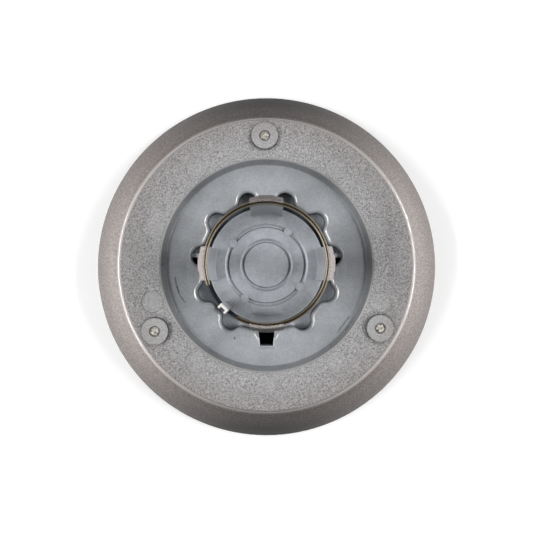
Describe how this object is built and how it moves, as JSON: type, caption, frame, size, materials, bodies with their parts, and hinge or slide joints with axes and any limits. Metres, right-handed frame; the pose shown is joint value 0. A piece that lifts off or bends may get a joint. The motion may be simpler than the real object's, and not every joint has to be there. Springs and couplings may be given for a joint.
{
  "type": "wheel centre cap",
  "caption": "Round wheel centre cap modelled from its back, with a rounded rim, a grained ring, a scalloped hub, and snap tabs with a spring wire ring that grip a wheel's bore.",
  "frame": {"origin": "on the axis of the cap, in the flat front face of its hub, which is the face it lies on", "axes": "+Z along the axis and out of the back, toward the wheel; +Y toward the boss that has no ejector mark of its own; +X to the right as seen from behind"},
  "size_m": [0.18, 0.18, 0.0392],
  "materials": {
    "cap_body": "grey moulding, smooth inside, coarse grain on the ring, thin warm silver paint on the rim",
    "retaining_ring": "spring wire with a yellow-brown passivated skin",
    "boss_pins": "cut steel ends"
  },
  "bodies": {
    "root": {"cap_body": "cap_body", "retaining_ring": "retaining_ring", "boss_pins": "boss_pins"}
  },
  "joints": []
}
